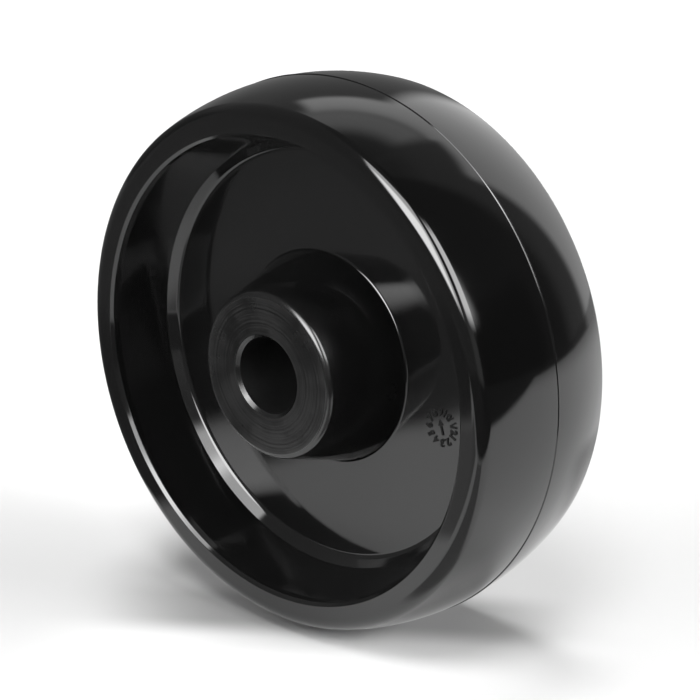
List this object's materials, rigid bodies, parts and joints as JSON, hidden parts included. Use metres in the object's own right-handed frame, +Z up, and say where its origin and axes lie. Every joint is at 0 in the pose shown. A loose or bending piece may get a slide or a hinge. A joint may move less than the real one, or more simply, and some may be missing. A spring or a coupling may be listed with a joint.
{
  "type": "castor wheel",
  "caption": "Heat-resistant castor wheel moulded in one piece, with a crowned tread, a dished web on both sides, a tapered hub and a plain bore.",
  "frame": {"origin": "wheel centre, on the spin axis at mid-width", "axes": "+Y along the spin axis, +Z up with the wheel upright on its tread"},
  "size_m": [0.15, 0.0556, 0.15],
  "materials": {
    "moulded_resin": "black thermoset resin, glossy as moulded, with satin machined hub ends"
  },
  "bodies": {
    "root": {"wheel": "moulded_resin"}
  },
  "joints": []
}
